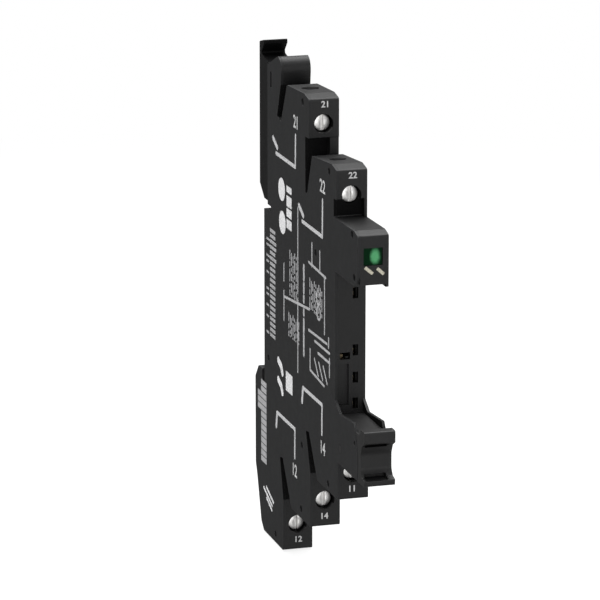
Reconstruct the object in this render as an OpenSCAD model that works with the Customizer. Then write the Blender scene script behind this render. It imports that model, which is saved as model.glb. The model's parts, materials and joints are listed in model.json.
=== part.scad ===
// Slim screw-terminal socket for a plug-in relay, clipped on a 35 mm top-hat rail.
// X runs along the rail, +Y points into the rail, +Z is up.
// The origin is the middle of the rail seat. Distances named *_front are measured
// from the rail seat towards the user, so their faces lie at a negative Y.

/* [Module] */
// Width of the whole module along the rail
module_w = 6.2; // [6:0.1:8]
// Thickness of the housing's side wall
wall_t = 0.55; // [0.5:0.05:0.7]
// Thickness of the printed side cover
cover_t = 0.55; // [0.5:0.05:0.7]
// Radius of the moulded outer corners
corner_r = 0.5; // [0.2:0.1:0.7]
// Gap round a fixed insert
fit_gap = 0.1; // [0.05:0.05:0.15]

/* [Upper tiers] */
// Front face of the upper tier
upper_front = 31.9; // [31:0.1:33]
// Top of the upper tier
upper_top = 46.2; // [46:0.1:47.2]
// Front face of the second tier
second_front = 50.5; // [50.2:0.1:51.5]
// Top of the second tier
second_top = 36.0; // [35.8:0.1:36.6]
// Depth of the crowned top's front slope
crown_run = 3.2; // [2.6:0.1:4]
// Drop of a tier's crowned top towards the front and the rear
crown_drop = 0.6; // [0.4:0.1:0.8]
// Height of the screws below the top of their tier
screw_below_top = 5.6; // [5.4:0.1:6]

/* [Lower tiers] */
// Front face of the lowest tier
lowest_front = 13.8; // [13.4:0.1:14.2]
// Underside of the lowest tier
lowest_bottom = 52.0; // [51.6:0.1:53]
// Front face of the middle tier
middle_front = 33.1; // [32.4:0.1:33.6]
// Underside of the middle tier
middle_bottom = 41.2; // [40.8:0.1:41.6]
// Front face of the third tier
third_front = 51.9; // [51.4:0.1:52.4]
// Underside of the third tier
third_bottom = 30.0; // [29.8:0.1:30.4]
// Height of the screws above the underside of their tier
screw_above_bottom = 5.4; // [5.2:0.1:5.8]

/* [Relay bay] */
// Depth of the bay's floor from the rail seat
floor_front = 49.8; // [49.4:0.1:50]
// Upper end of the bay
bay_top = 15.4; // [15.2:0.1:15.8]
// Lower end of the bay
bay_bottom = 12.9; // [12.7:0.1:13.1]
// Thickness of the bay's floor
floor_t = 1.2; // [1:0.1:1.4]
// Height of a contact slot in the floor
slot_h = 2.2; // [1.6:0.1:2.6]
// Width of a contact slot in the floor
slot_w = 1.1; // [0.9:0.1:1.3]

/* [Indicator housing] */
// Front face of the indicator housing
led_front = 64.3; // [63.6:0.1:65]
// Top of the indicator housing
led_top = 26.2; // [26:0.1:26.6]
// Width of the indicator window
window_w = 3.8; // [3:0.1:4]
// Height of the indicator window
window_h = 3.4; // [3:0.1:3.6]
// Height of the window's middle
window_z = 21.5; // [21.2:0.1:21.8]
// Thickness of the circuit board
board_t = 1.4; // [1:0.1:1.6]

/* [Terminals] */
// Radius of the wire entries
wire_r = 1.5; // [1.3:0.05:1.55]
// Radius of a screw's head
head_r = 1.7; // [1.5:0.05:1.8]
// Height of a screw's head
head_h = 1.6; // [1.2:0.1:1.8]
// Depth of a screw's head below the front face
head_inset = 1.4; // [1.2:0.1:1.7]
// Radius of a screw's shank
shank_r = 1.22; // [1.1:0.01:1.25]
// Radial play of the shank in the cage's thread
thread_play = 0.08; // [0.05:0.01:0.1]
// Travel of a clamp cage
cage_travel = 2.0; // [1.6:0.1:2]
// Height of a clamp cage along the wire
cage_h = 5.0; // [4.6:0.1:5]
// Wall of a clamp cage
cage_wall = 0.6; // [0.5:0.05:0.65]
// Thickness of the contact strips
strip_t = 0.7; // [0.5:0.05:0.8]
// Width of the contact strips
strip_w = 1.8; // [1.4:0.1:1.9]

/* [Rail fixing] */
// Height of the mounting rail
rail_h = 35.0; // [34.6:0.1:35.2]
// Thickness of the rail's flange
flange_t = 1.0; // [0.8:0.1:1.2]
// Top of the rail latch's tab
latch_top = 51.3; // [50.8:0.1:52]
// Depth of the rail latch behind the rail seat
latch_back = 5.3; // [5:0.1:5.6]
// Width of the rail latch
latch_w = 5.0; // [4.6:0.1:5]
// Upward travel of the rail latch
latch_travel = 3.0; // [2:0.1:3.1]
// Depth of the rigid foot behind the rail seat
foot_back = 6.9; // [6.5:0.1:7.3]

/* [Retaining clip] */
// Distance of the clip's front face from the rail seat
clip_front = 69.1; // [68.6:0.1:70]
// Distance of the clip's pivot from the rail seat
pivot_front = 53.3; // [53.2:0.05:53.4]
// Depth of the clip's pivot below the rail's middle
pivot_low = 19.2; // [19:0.05:19.4]
// Radius of the cheeks about the pivot
cheek_r = 11.6; // [11.4:0.1:11.7]
// Radius of the clip's trunnions
trunnion_r = 0.8; // [0.6:0.05:1]

/* [Hidden] */
$fn = 40;

left = -module_w / 2;
right = module_w / 2;
inner_left = left + cover_t;
inner_right = right - wall_t;
tiny = 0.01;
running = 0.05;

// Where the pieces of a terminal lie behind its front face
shoulder = head_inset + head_h;
shoulder_t = 1.0;
chamber_from = shoulder + shoulder_t;
plate_t = 1.0;
back_t = 0.8;
cage_from = chamber_from + fit_gap + cage_travel;
bar_t = 0.8;
bar_w = 2.8;
bar_reach = 1.6;
bar_from = cage_from + plate_t + 0.2;
wire_from = bar_from + bar_t;
cage_to = wire_from + 2 * wire_r + fit_gap + back_t;
chamber_to = cage_to + fit_gap;
wire_mid = wire_from + wire_r;
cage_w = 4.4;
chamber_right = cage_w / 2 + fit_gap;
chamber_h = cage_h + 4 * fit_gap;

// Terminals: front face, height of the screw, way the wire leaves, contact slot
terminals = [
    [upper_front, upper_top - screw_below_top, 1],
    [second_front, second_top - screw_below_top, 1],
    [third_front, screw_above_bottom - third_bottom, -1],
    [middle_front, screw_above_bottom - middle_bottom, -1],
    [lowest_front, screw_above_bottom - lowest_bottom, -1]
];
mouths = [upper_top, second_top, -third_bottom, -middle_bottom, -lowest_bottom];

// Contact slots in the bay's floor: side (-1 left, 1 right) and height
slots = [[-1, -1.6], [1, 10.9], [1, -11.2], [1, -6.0], [1, -0.5]];
left_slot = [2.1, 1.4];
fork_inset = 1.5;
strip_x = 1.05;
fork_depth = 4.0;
fork_base = 1.6;
fork_h = 2.8;
fork_gap = 0.7;
fork_tip = floor_front - floor_t;
fork_root = fork_tip - fork_depth - fork_base;

// Rail gap and the notch above it
rail_play = 0.15;
seat_top = rail_h / 2 - 0.6;
notch_h = 1.4;
notch_deep = 5.1;
foot_top = rail_h / 2 - 0.1;
slot_back = flange_t + 0.8;
slot_low = foot_top + 5.2;

// Column behind the latch, and the finger rest on top of it
column_back = 2.6;
column_top = 47.3;
rest_front = 12.9;
rest_top = 50.7;
rest_r = 2.2;

// Rear outline of the rigid foot below its slot
foot_heel = 41.4;
foot_calf = 38.8;
foot_toe = 20.2;
hook_h = 1.0;

// Ends of the clip's cheeks, and the web of its finger piece in front of them
cheek_top = 11.6;
cheek_bottom = 22.4;
grip_r = cheek_r + 0.3;
web_front = pivot_front + grip_r + 1.5;
lever_back = pivot_front - 2.4;
grip_t = 2.3;
catch_t = 1.2;
dimple = [-62.7, -15.4];

// Latch guide
latch_face = column_back - rail_play;
guide_rib_low = 33;
guide_rib_high = 40;
guide_deep = 7.6;
guide_plate_t = 1.5;
guide_from = guide_deep - guide_plate_t - fit_gap;
arm_low = 22;
arm_h = 3;
arm_half = 2.1;
guide_top = 46.2;
spring_d = 3.0;
spring_wire = 0.4;
spring_turns = 6;
spring_low = arm_low + arm_h;
spring_mid = (column_back + guide_from) / 2;

// Tab, nose and moulded pockets of the rail latch
latch_low = seat_top + notch_h + 0.2;
tab_front = 2.0;
neck_t = 1.0;
nose_low = latch_low + 0.8;
nose_top = rail_h / 2 - 1.4;
pocket_low = latch_low + 5.0;
pocket_h = 7;
pocket_rib = 1;
sight_slot = [5.6, 42.9];
sight_w = 1.0;
sight_h = 3.2;

// Indicator parts
led_wall = 1.2;
led_floor = 18.2;
led_roof = 24.2;
board_front = led_front - led_wall - 2.1;
board_back = 51.2;
lens_flange = 0.6;
chip = [0.6, 1.6, 3.2];
chip_from = board_front - 1.5;
chip_step = 3;
bridge = [1.4, 4.0, 3.6];
bridge_from = board_front - 1.4;
die = 1.1;
dome_r = 0.55;

// Bus slots between the tiers: rear mouth, rear tip, front tip, front mouth
finger_slot = [
    [-12.2, upper_top - 1.5], [-9.6, upper_top - 8.2],
    [-11.7, upper_top - 9.0], [-16.7, upper_top - crown_drop]
];
second_slot = [
    [-upper_front + 2.5, second_top + 1.8], [-upper_front + 2.3, second_top - 9.4],
    [-upper_front + 1.2, second_top - 9.6], [-upper_front - 2.2, second_top - 1.1]
];
third_slot = [
    [-third_front + 16.4, -third_bottom], [-middle_front + 1.8, -third_bottom + 8.4],
    [-middle_front + 3.1, -third_bottom + 8.0], [-middle_front, -third_bottom]
];
middle_slot = [
    [-middle_front + 15.9, -middle_bottom], [-lowest_front + 1.2, -middle_bottom + 8.9],
    [-lowest_front + 2.4, -middle_bottom + 8.5], [-lowest_front, -middle_bottom]
];
// The slots' far walls reach into the housing by a lap and stand back a little at the mouth
wall_lap = 0.4;
wall_inset = 0.35;
recess_inset = 0.15;
bus_wall_x = 1.3;
recess_h = 3.4;
recess_deep = 1.8;

// Tongues of the supply strips beside the circuit board
tongue_low = [18.6, 21.6];
tongue_h = 1.8;
strip_bend = [6.6, 0, 0, 6.0, 13.5];

peg_r = 0.5;
pegs = [
    [-27.6, 44.3], [-45.6, 34.2], [-60.7, 25.2], [-62.1, 17.1], [-45.3, -28.6],
    [-26.6, -39.3], [-8.0, -50.3], [-27.1, -25.8], [-36.5, 16.0], [-3.0, -14.0]
];

// Helpers

function unit(v) = v / norm(v);

// Points of one outline corner [y, z, r], rounded by an arc of radius r
function corner(before, here, after) =
    let (p = [here[0], here[1]],
         u = unit([before[0], before[1]] - p),
         w = unit([after[0], after[1]] - p),
         half = acos(max(-1, min(1, u * w))) / 2,
         reach = here[2] / tan(half),
         centre = p + unit(u + w) * here[2] / sin(half),
         from = p + u * reach - centre,
         to = p + w * reach - centre,
         start = atan2(from[1], from[0]),
         raw = atan2(to[1], to[0]) - start,
         sweep = raw > 180 ? raw - 360 : raw < -180 ? raw + 360 : raw,
         steps = max(2, ceil(abs(sweep) / 18)))
    here[2] == 0 ? [p]
    : [for (i = [0:steps]) let (a = start + sweep * i / steps)
        centre + here[2] * [cos(a), sin(a)]];

function rounded(path) =
    let (n = len(path))
    [for (i = [0:n - 1]) each corner(path[(i + n - 1) % n], path[i], path[(i + 1) % n])];

// Outline of the far wall of a bus slot
function slot_wall(slot) =
    let (down = unit(slot[1] - slot[0]),
         back_down = unit(slot[2] - slot[3]),
         across = unit(slot[3] - slot[0]))
    [slot[0] + down * wall_inset - across * wall_lap,
     slot[1] + (down - across) * wall_lap,
     slot[2] + (back_down + across) * wall_lap,
     slot[3] + back_down * wall_inset + across * wall_lap];

// Far wall of the second slot, which comes forward to the upper tier's face
function second_wall() =
    let (wall = slot_wall(second_slot), face = -upper_front + recess_inset, top = second_slot[0][1] + 0.6)
    [[second_slot[0][0] + wall_lap, top], wall[1], wall[2], wall[3], [face, wall[3][1]], [face, top]];

// Gives each point of a shape the radius of its corner
function corners(shape, radii) =
    [for (i = [0:len(shape) - 1]) [shape[i][0], shape[i][1], radii[i]]];

// Extrudes a [y, z] outline from one X to another
module slab(from, to) {
    translate([from, 0, 0])
        rotate([90, 0, 90])
            linear_extrude(height = to - from)
                children();
}

module block(low, high) {
    translate(low)
        cube(high - low);
}

// Cylinder along Y, starting at a distance in front of the rail seat
module bore_y(z, from, to, r) {
    translate([0, -from, z])
        rotate([-90, 0, 0])
            cylinder(r = r, h = from - to);
}

// Outline shared by the housing and the cover

// Front edge of the cheeks: an arc about the clip's pivot
function cheek_arc(r, top, bottom) =
    let (a0 = asin((pivot_low - top) / r),
         a1 = asin((pivot_low - bottom) / r),
         steps = 8)
    [for (i = [0:steps]) let (a = a0 + (a1 - a0) * i / steps)
        [-pivot_front - r * cos(a), -pivot_low + r * sin(a), 0]];

function side_path(lip_r) = concat(
    [
        // rail seat, notch and latch column
        [0, seat_top, 0.2],
        [-notch_deep, seat_top + 0.4, 0.3],
        [-notch_deep, seat_top + notch_h, 0.3],
        [-column_back, seat_top + notch_h, 0.2],
        [-column_back, column_top, 0.2],
        // finger rest
        [-column_back - 0.5, column_top, 0],
        [-rest_front, rest_top, rest_r],
        // slot behind the upper tier
        each corners(finger_slot, [0, 0.3, 0.3, corner_r]),
        // upper tier
        [-upper_front + crown_run, upper_top, 1],
        [-upper_front, upper_top - crown_drop, 0.6],
        [-upper_front, second_slot[0][1], 0.2],
        // slot behind the second tier
        each corners(second_slot, [0.2, 0.3, 0.3, corner_r]),
        // second tier
        [-second_front + crown_run, second_top, 1],
        [-second_front, second_top - crown_drop, 0.6],
        [-second_front, led_top + recess_h, 0.2],
        [-second_front + recess_deep, led_top + recess_h, 0.2],
        [-second_front + recess_deep, led_top - crown_drop / 2, 0.2],
        // indicator housing
        [-led_front + crown_run - 0.8, led_top, 1],
        [-led_front, led_top - crown_drop, 0.6],
        [-led_front, bay_top, lip_r],
        [-floor_front, bay_top, 0.3],
        // relay bay and cheeks of the clip
        [-floor_front, -bay_bottom + 2.5, 0.4],
        [-floor_front - 3.1, -bay_bottom + 0.6, 0.8]
    ],
    cheek_arc(cheek_r, cheek_top, cheek_bottom),
    [
        [-third_front, -cheek_bottom, 0],
        // third tier and the slot behind it
        [-third_front, -third_bottom, corner_r],
        each corners(third_slot, [0.3, 0.3, 0.3, 0.3]),
        // middle tier and the slot behind it
        [-middle_front, -middle_bottom, corner_r],
        each corners(middle_slot, [0.3, 0.3, 0.3, 0.3]),
        // lowest tier
        [-lowest_front, -lowest_bottom, corner_r],
        [0.6, -lowest_bottom, 0.4],
        // rigid foot and its rail slot
        [2.6, -lowest_bottom + 1.6, 0.6],
        [foot_back - 1.3, -foot_heel, 1],
        [foot_back - 0.1, -foot_calf, 1],
        [foot_back, -foot_toe, 1],
        [slot_back + 2.6, -foot_top, 0.5],
        [slot_back, -foot_top, 0.2],
        [slot_back, -slot_low, 0.4],
        [0, -slot_low, 0.4]
    ]
);

module side_outline(lip_r) {
    polygon(rounded(side_path(lip_r)));
}

// Housing

// One straight run of a strip or of its channel, in the [y, z] plane
module run(from, to, width) {
    way = to - from;
    translate(from)
        rotate(atan2(way[1], way[0]))
            translate([0, -width / 2])
                square([norm(way), width]);
    translate(to)
        circle(d = width);
    translate(from)
        circle(d = width);
}

// Middle line of each strip from its clamp to its fork, as [y, z] points
function strip_line(i) =
    let (t = terminals[i],
         y = -t[0] + bar_from + bar_t / 2,
         z0 = t[1] - t[2] * (chamber_h / 2 + strip_w / 2 + 0.1),
         z1 = slots[i][1],
         bend = strip_bend[i],
         root = -fork_root)
    bend == 0 ? [[y, z0], [y, z1]]
    : [[y, z0], [y, z1 + t[2] * bend], [y - bend, z1], [root, z1]];

module strip_shape(i, width) {
    line = strip_line(i);
    for (k = [1:len(line) - 1])
        run(line[k - 1], line[k], width);
}

module chamber(i) {
    t = terminals[i];
    y = -t[0];
    away = t[2];
    block([inner_left - tiny, y + chamber_from, t[1] - chamber_h / 2],
          [chamber_right, y + chamber_to, t[1] + chamber_h / 2]);
    // passage of the conductor bar out of the chamber
    bar_end = t[1] - away * (chamber_h / 2 + bar_reach + fit_gap);
    block([inner_left - tiny, y + bar_from - fit_gap, min(t[1], bar_end)],
          [bar_w / 2 + fit_gap, y + wire_from + fit_gap, max(t[1], bar_end)]);
    // screw head's well, then the shank's hole through the shoulder
    bore_y(t[1], t[0] + 1, t[0] - shoulder, head_r + 0.25);
    bore_y(t[1], t[0], t[0] - chamber_from - tiny, shank_r + 0.2);
    // wire entry with its funnel
    mouth = mouths[i];
    start = t[1] + away * (chamber_h / 2 - tiny);
    translate([0, y + wire_mid, min(start, mouth + away)])
        cylinder(r = wire_r, h = abs(mouth + away - start));
    funnel_top = away > 0 ? mouth - crown_drop / 2 + 0.3 : mouth - 0.3;
    funnel_h = 1.2;
    translate([0, y + wire_mid, away > 0 ? funnel_top - funnel_h : funnel_top])
        cylinder(h = funnel_h, r1 = away > 0 ? wire_r : wire_r + 0.45,
                 r2 = away > 0 ? wire_r + 0.45 : wire_r);
}

module channel(i) {
    side = slots[i][0];
    z = slots[i][1];
    depth = side * strip_x + strip_t / 2 + fit_gap;
    slab(inner_left - tiny, depth)
        strip_shape(i, strip_w + 0.3);
    // room for the fork, and the slot in the bay's floor
    block([inner_left - tiny, -fork_tip, z - fork_h / 2 - 0.15],
          [depth, -fork_root + 0.2, z + fork_h / 2 + 0.15]);
    size = side < 0 ? left_slot : [slot_w, slot_h];
    block([side * strip_x - size[0] / 2, -floor_front - 1, z - size[1] / 2],
          [side * strip_x + size[0] / 2, -fork_tip + tiny, z + size[1] / 2]);
}

module latch_guide() {
    wide = arm_half + 2 * fit_gap;
    low = arm_low - 0.5;
    block([inner_left - tiny, -guide_deep, low], [wide, -guide_from + 0.2, guide_top]);
    block([inner_left - tiny, -guide_deep, low], [wide, -column_back + 1, guide_rib_low]);
    block([inner_left - tiny, -guide_deep, guide_rib_high], [wide, -column_back + 1, guide_top]);
}

module indicator_room() {
    block([inner_left - tiny, -led_front + led_wall, led_floor],
          [2.3, -board_back + 0.2, led_roof]);
    translate([-window_w / 2, -led_front - 1, window_z - window_h / 2])
        cube([window_w, led_wall + 2, window_h]);
    // tongues of the two supply strips reach the board
    for (i = [0:1])
        block([inner_left - tiny, -board_back - tiny, tongue_low[i] - 2 * fit_gap],
              [slots[i][0] * strip_x + strip_t / 2 + fit_gap, strip_line(i)[0][0],
               tongue_low[i] + tongue_h + 2 * fit_gap]);
}

module clip_bay() {
    slab(inner_left - tiny, inner_right)
        polygon([
            [-floor_front, -bay_bottom + 0.1], [-floor_front, bay_top + 0.6],
            [-led_front - 1, bay_top + 0.6], [-led_front - 4, -cheek_bottom - 0.2],
            [-third_front - tiny, -cheek_bottom - 0.2], [-third_front, -cheek_bottom + 0.8],
            [-lever_back + 0.5, -cheek_bottom + 2], [-lever_back + 0.5, -bay_bottom + 0.1]
        ]);
}

module housing() {
    color([0.16, 0.16, 0.17])
    difference() {
        union() {
            slab(inner_left, right)
                side_outline(0.3);
            // the bus slots stop at a wall on the far side
            slab(bus_wall_x, right) {
                for (slot = [finger_slot, third_slot, middle_slot])
                    polygon(slot_wall(slot));
                polygon(second_wall());
            }
            // and so does the recess over the indicator housing
            slab(inner_right, right)
                polygon([
                    [-second_front, led_top + recess_h + 1], [-second_front, led_top - crown_drop],
                    [-second_front + recess_deep + 1, led_top - crown_drop],
                    [-second_front + recess_deep + 1, led_top + recess_h + 1]
                ]);
            for (p = pegs)
                translate([left, p[0], p[1]])
                    rotate([0, 90, 0])
                        cylinder(r = peg_r, h = cover_t + 1);
            // lip that holds the rail's lower flange
            slab(-1.9, 1.9)
                polygon(rounded([
                    [slot_back, -foot_top - 0.5, 0], [slot_back, -foot_top + 2 * hook_h, 0.2],
                    [slot_back + 0.7, -foot_top + 2 * hook_h, 0.3], [slot_back + 1.8, -foot_top, 0],
                    [slot_back + 1.8, -foot_top - 0.5, 0]
                ]));
        }
        for (i = [0:4]) {
            chamber(i);
            channel(i);
        }
        latch_guide();
        indicator_room();
        clip_bay();
        // shallow recess in the bay's floor beside the lower contacts
        block([left - 1, -floor_front - 1, slots[2][1] - 0.2],
              [-0.3, -floor_front + 0.7, slots[0][1] - 1.6]);
        translate([0, -pivot_front, -pivot_low])
            rotate([0, 90, 0])
                cylinder(r = trunnion_r + running, h = module_w);
        translate([0, dimple[0], dimple[1]])
            rotate([0, 90, 0])
                cylinder(r = peg_r, h = module_w);
    }
}

module side_cover() {
    color([0.2, 0.2, 0.21])
    difference() {
        slab(left, inner_left)
            side_outline(2.6);
        for (p = pegs)
            translate([left - 1, p[0], p[1]])
                rotate([0, 90, 0])
                    cylinder(r = peg_r + running, h = cover_t + 2);
        translate([left - 1, -pivot_front, -pivot_low])
            rotate([0, 90, 0])
                cylinder(r = trunnion_r + running, h = cover_t + 2);
        translate([left - 1, dimple[0], dimple[1]])
            rotate([0, 90, 0])
                cylinder(r = peg_r, h = cover_t + 2);
        // sight slot over the latch's guide plate
        block([left - 1, -sight_slot[0], sight_slot[1]],
              [inner_left + 1, -sight_slot[0] + sight_w, sight_slot[1] + sight_h]);
    }
}

// Rail latch and its spring

module rail_latch() {
    half = latch_w / 2;
    color([0.06, 0.06, 0.065])
    difference() {
        union() {
            slab(-half, half)
                polygon(rounded([
                    [-latch_face, latch_low, 0.3], [tab_front, latch_low, 0.3],
                    [latch_back, latch_low + 2.6, 0.5], [latch_back, latch_top - 0.8, 0.4],
                    [tab_front, latch_top, 0.3], [tab_front, latch_top - 0.9, 0.3],
                    [latch_back - neck_t, latch_top - 3.1, 0.5], [-latch_face, column_top - 0.4, 0.3]
                ]));
            // nose behind the rail's upper flange
            slab(0, half)
                polygon(rounded([
                    [flange_t + 0.3, nose_low, 0], [flange_t + 0.3, nose_top, 0.2],
                    [flange_t + 1.0, nose_top, 0.3], [latch_back - 1, nose_low, 0]
                ]));
            // arms and plate that run in the housing's guide
            block([-arm_half, -guide_from - 0.2, arm_low],
                  [arm_half, -latch_face + 0.2, arm_low + arm_h]);
            block([-arm_half, -guide_from - 0.2, guide_rib_high + fit_gap],
                  [arm_half, -latch_face + 0.2, guide_rib_high + 2.5]);
            block([-arm_half, -guide_deep + fit_gap, arm_low],
                  [arm_half, -guide_from, guide_rib_high + 2.5]);
        }
        // pocket moulded into the back, crossed by two ribs
        for (k = [0:2])
            translate([0, 0, pocket_low + k * (pocket_h + pocket_rib)])
                block([-half + 0.9, 0.4, 0], [half - 0.9, latch_back + 1, pocket_h]);
    }
}

// Points of a round wire ring at a turn angle of the coil
function coil_ring(a, r, wire, rise, sides) =
    [for (k = [0:sides - 1]) let (b = 360 * k / sides, q = r + wire * cos(b))
        [q * cos(a), q * sin(a), rise + wire * sin(b)]];

module latch_spring() {
    sides = 8;
    per_turn = 14;
    rings = spring_turns * per_turn;
    wire = spring_wire / 2;
    r = spring_d / 2 - wire;
    low = spring_low + wire;
    pitch = (guide_rib_low - spring_low - spring_wire) / spring_turns;
    points = [for (i = [0:rings])
        each coil_ring(360 * i / per_turn, r, wire, low + pitch * i / per_turn, sides)];
    faces = concat(
        [[for (k = [0:sides - 1]) k]],
        [for (i = [0:rings - 1]) for (k = [0:sides - 1]) let (n = (k + 1) % sides)
            [i * sides + k, (i + 1) * sides + k, (i + 1) * sides + n, i * sides + n]],
        [[for (k = [sides - 1:-1:0]) rings * sides + k]]
    );
    color([0.7, 0.7, 0.72])
        translate([0, -spring_mid, 0])
            polyhedron(points, faces);
}

// Retaining clip

module retaining_clip() {
    lever = inner_right - fit_gap;
    color([0.13, 0.13, 0.135])
    difference() {
        union() {
            // lever between the cheeks
            slab(inner_left + fit_gap, lever)
                polygon(rounded([
                    [-lever_back, -bay_bottom, 0.3], [-web_front + 0.9, -bay_bottom, 0],
                    [-web_front + 0.2, -cheek_bottom + 1.6, 0],
                    [-web_front + 0.2, -cheek_bottom + 0.2, 0],
                    [-pivot_front - 1, -cheek_bottom + 0.2, 0.5],
                    [-pivot_front + 1.7, -cheek_bottom + 1.8, 1.5],
                    [-lever_back, -bay_bottom - 3.6, 0.5]
                ]));
            // finger piece across the whole width, in front of the cheeks
            slab(left, right)
                polygon(concat(
                    [for (p = cheek_arc(grip_r, cheek_bottom, bay_bottom)) [p[0], p[1]]],
                    rounded([
                        [-web_front + 0.9, -bay_bottom, 0], [-web_front - 0.1, -cheek_top, 0.3],
                        [-clip_front, -cheek_top, 0.4], [-clip_front, -cheek_top - grip_t, 0.3],
                        [-web_front - 0.9, -cheek_top - grip_t - 0.8, 0.8],
                        [-web_front, -cheek_top - grip_t - 2.6, 1.5],
                        [-web_front, -cheek_bottom + catch_t + 1.6, 1.5],
                        [-web_front - 0.9, -cheek_bottom + catch_t + 0.3, 0.6],
                        [-clip_front, -cheek_bottom + catch_t, 0.3],
                        [-clip_front + 0.1, -cheek_bottom, 0.3],
                        [-web_front + 1.1, -cheek_bottom, 0]
                    ])
                ));
            translate([left, -pivot_front, -pivot_low])
                rotate([0, 90, 0])
                    cylinder(r = trunnion_r, h = module_w);
        }
        // groove for a screwdriver blade
        block([-2.6, -clip_front - 1, -cheek_bottom + catch_t - 0.1],
              [1.8, -web_front + 0.9, -cheek_bottom + catch_t + 0.9]);
    }
}

// Terminals

module terminal_screw(i) {
    t = terminals[i];
    tip = t[0] - bar_from + fit_gap;
    blade = 0.6;
    color([0.82, 0.82, 0.84])
    difference() {
        union() {
            bore_y(t[1], t[0] - head_inset, t[0] - shoulder, head_r);
            bore_y(t[1], t[0] - head_inset - 0.1, tip, shank_r);
        }
        block([-blade / 2, -t[0], t[1] - head_r - 1],
              [blade / 2, -t[0] + head_inset + 0.8, t[1] + head_r + 1]);
    }
}

module clamp_cage(i) {
    t = terminals[i];
    y = -t[0];
    half = cage_w / 2;
    color([0.72, 0.7, 0.62])
    difference() {
        block([-half, y + cage_from, t[1] - cage_h / 2],
              [half, y + cage_to, t[1] + cage_h / 2]);
        block([-half + cage_wall, y + cage_from + plate_t, t[1] - cage_h],
              [half - cage_wall, y + cage_to - back_t, t[1] + cage_h]);
        bore_y(t[1], t[0] - cage_from + 1, t[0] - cage_from - plate_t - tiny,
               shank_r + thread_play);
    }
}

module contact_strip(i) {
    t = terminals[i];
    y = -t[0];
    away = t[2];
    side = slots[i][0];
    z = slots[i][1];
    from = side * strip_x - strip_t / 2;
    to = side * strip_x + strip_t / 2;
    z_far = t[1] + away * (cage_h / 2 - 0.3);
    z_near = t[1] - away * (chamber_h / 2 + bar_reach);
    color([0.8, 0.62, 0.35])
    union() {
        // cross bar that the screw's tip bears on
        block([-bar_w / 2, y + bar_from, min(z_far, z_near)],
              [bar_w / 2, y + wire_from, max(z_far, z_near)]);
        slab(from, to)
            strip_shape(i, strip_w);
        // tuning fork that takes the relay's blade
        slab(from, to)
            difference() {
                translate([-fork_tip + fork_inset, z - fork_h / 2])
                    square([fork_tip - fork_root - fork_inset, fork_h]);
                translate([-fork_tip - 1, z - fork_gap / 2])
                    square([fork_depth + 1, fork_gap]);
            }
        if (i < 2)
            block([from, -board_back - 1.2, tongue_low[i]],
                  [to, y + bar_from + bar_t / 2, tongue_low[i] + tongue_h]);
    }
}

// Indicator

module circuit_board() {
    color([0.1, 0.35, 0.2])
        block([-board_t / 2, -board_front, led_floor + fit_gap],
              [board_t / 2, -board_back, led_roof - fit_gap]);
}

module indicator_led() {
    color([0.6, 0.9, 0.6]) {
        block([-die, -board_front - 0.9, window_z - die], [die, -board_front, window_z + die]);
        translate([0, -board_front - 0.85, window_z])
            sphere(r = dome_r);
    }
}

module indicator_window() {
    gap = running;
    front = led_front - 0.25;
    back = led_front - led_wall;
    color([0.1, 0.7, 0.3])
    union() {
        block([-window_w / 2 + gap, -front, window_z - window_h / 2 + gap],
              [window_w / 2 - gap, -back + tiny, window_z + window_h / 2 - gap]);
        block([-window_w / 2 - 0.3, -back, window_z - window_h / 2 - 0.3],
              [window_w / 2 + 0.3, -back + lens_flange, led_roof - fit_gap]);
    }
}

module chip_resistors() {
    color([0.1, 0.1, 0.1])
        for (k = [0:1])
            translate([-board_t / 2 - chip[0], -chip_from + k * chip_step, led_floor + 1])
                cube(chip);
}

module rectifier() {
    color([0.08, 0.08, 0.09])
        translate([board_t / 2, -bridge_from, led_floor + 1.2])
            cube(bridge);
}

housing();
side_cover();
rail_latch();
latch_spring();
retaining_clip();
terminal_screw(0);  // terminal_screw_1
terminal_screw(1);  // terminal_screw_2
terminal_screw(2);  // terminal_screw_3
terminal_screw(3);  // terminal_screw_4
terminal_screw(4);  // terminal_screw_5
clamp_cage(0);  // clamp_cage_1
clamp_cage(1);  // clamp_cage_2
clamp_cage(2);  // clamp_cage_3
clamp_cage(3);  // clamp_cage_4
clamp_cage(4);  // clamp_cage_5
contact_strip(0);  // contact_strip_1
contact_strip(1);  // contact_strip_2
contact_strip(2);  // contact_strip_3
contact_strip(3);  // contact_strip_4
contact_strip(4);  // contact_strip_5
circuit_board();
indicator_led();
indicator_window();
chip_resistors();
rectifier();
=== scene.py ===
import json
import math

import bmesh
import bpy
from mathutils import Matrix, Vector
from mathutils.geometry import intersect_point_line

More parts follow.
